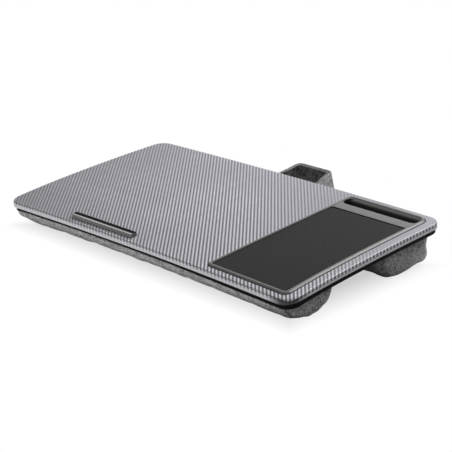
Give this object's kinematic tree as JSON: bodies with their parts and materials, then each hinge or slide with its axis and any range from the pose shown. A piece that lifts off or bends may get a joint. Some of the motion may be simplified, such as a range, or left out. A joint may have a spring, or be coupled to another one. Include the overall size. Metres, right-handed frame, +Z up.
{
  "type": "lap desk",
  "caption": "Lap desk: carbon-pattern board with mouse pad tray, phone slot and device ledge, on a thin front and a thick rear fabric bolster, with a strap handle.",
  "frame": {"origin": "on the floor, under the middle of the object's footprint, handle included", "axes": "+X to the user's right along the board, +Y from the user to the back, +Z up"},
  "size_m": [0.536, 0.3662, 0.0674],
  "materials": {
    "carbon_film": "printed carbon twill under a satin clear film",
    "fibreboard": "bare pressed fibre",
    "black_plastic": "satin moulded",
    "grey_plastic": "satin silver-grey moulded",
    "leatherette": "fine grained, matt",
    "foam": "closed-cell foam",
    "gloss_black": "polished moulded",
    "screw_steel": "zinc plated",
    "bolster_fabric": "heathered grey polyester",
    "lining_fabric": "black non-woven",
    "strap_fabric": "heathered grey polyester, folded double",
    "fibre_fill": "loose polyester fibre"
  },
  "bodies": {
    "desk": {"carbon_film": "carbon_film", "board_core": "fibreboard", "base_panel": "black_plastic", "base_screw_1": "screw_steel", "base_screw_2": "screw_steel", "base_screw_3": "screw_steel", "base_screw_4": "screw_steel", "base_screw_5": "screw_steel", "base_screw_6": "screw_steel", "tray_insert": "grey_plastic", "pad_backing": "foam", "mouse_pad": "leatherette", "tray_screw_1": "screw_steel", "tray_screw_2": "screw_steel", "tray_screw_3": "screw_steel", "tray_screw_4": "screw_steel", "device_ledge": "gloss_black", "ledge_screw_left": "screw_steel", "ledge_screw_right": "screw_steel", "front_bolster_cover": "bolster_fabric", "front_bolster_fill": "fibre_fill", "front_bolster_end_left": "bolster_fabric", "front_bolster_end_right": "bolster_fabric", "rear_bolster_cover": "bolster_fabric", "rear_bolster_fill": "fibre_fill", "rear_bolster_end_left": "bolster_fabric", "rear_bolster_end_right": "bolster_fabric", "under_lining": "lining_fabric", "handle_tab_left": "strap_fabric", "handle_tab_right": "strap_fabric"},
    "handle": {"handle_loop": "strap_fabric"}
  },
  "joints": [
    {"name": "handle_swing", "type": "hinge", "parent": "desk", "child": "handle", "pos_m": [0, 0.13481, 0.04003], "axis": [1, 0, 0], "range_deg": [-35, 60]}
  ]
}
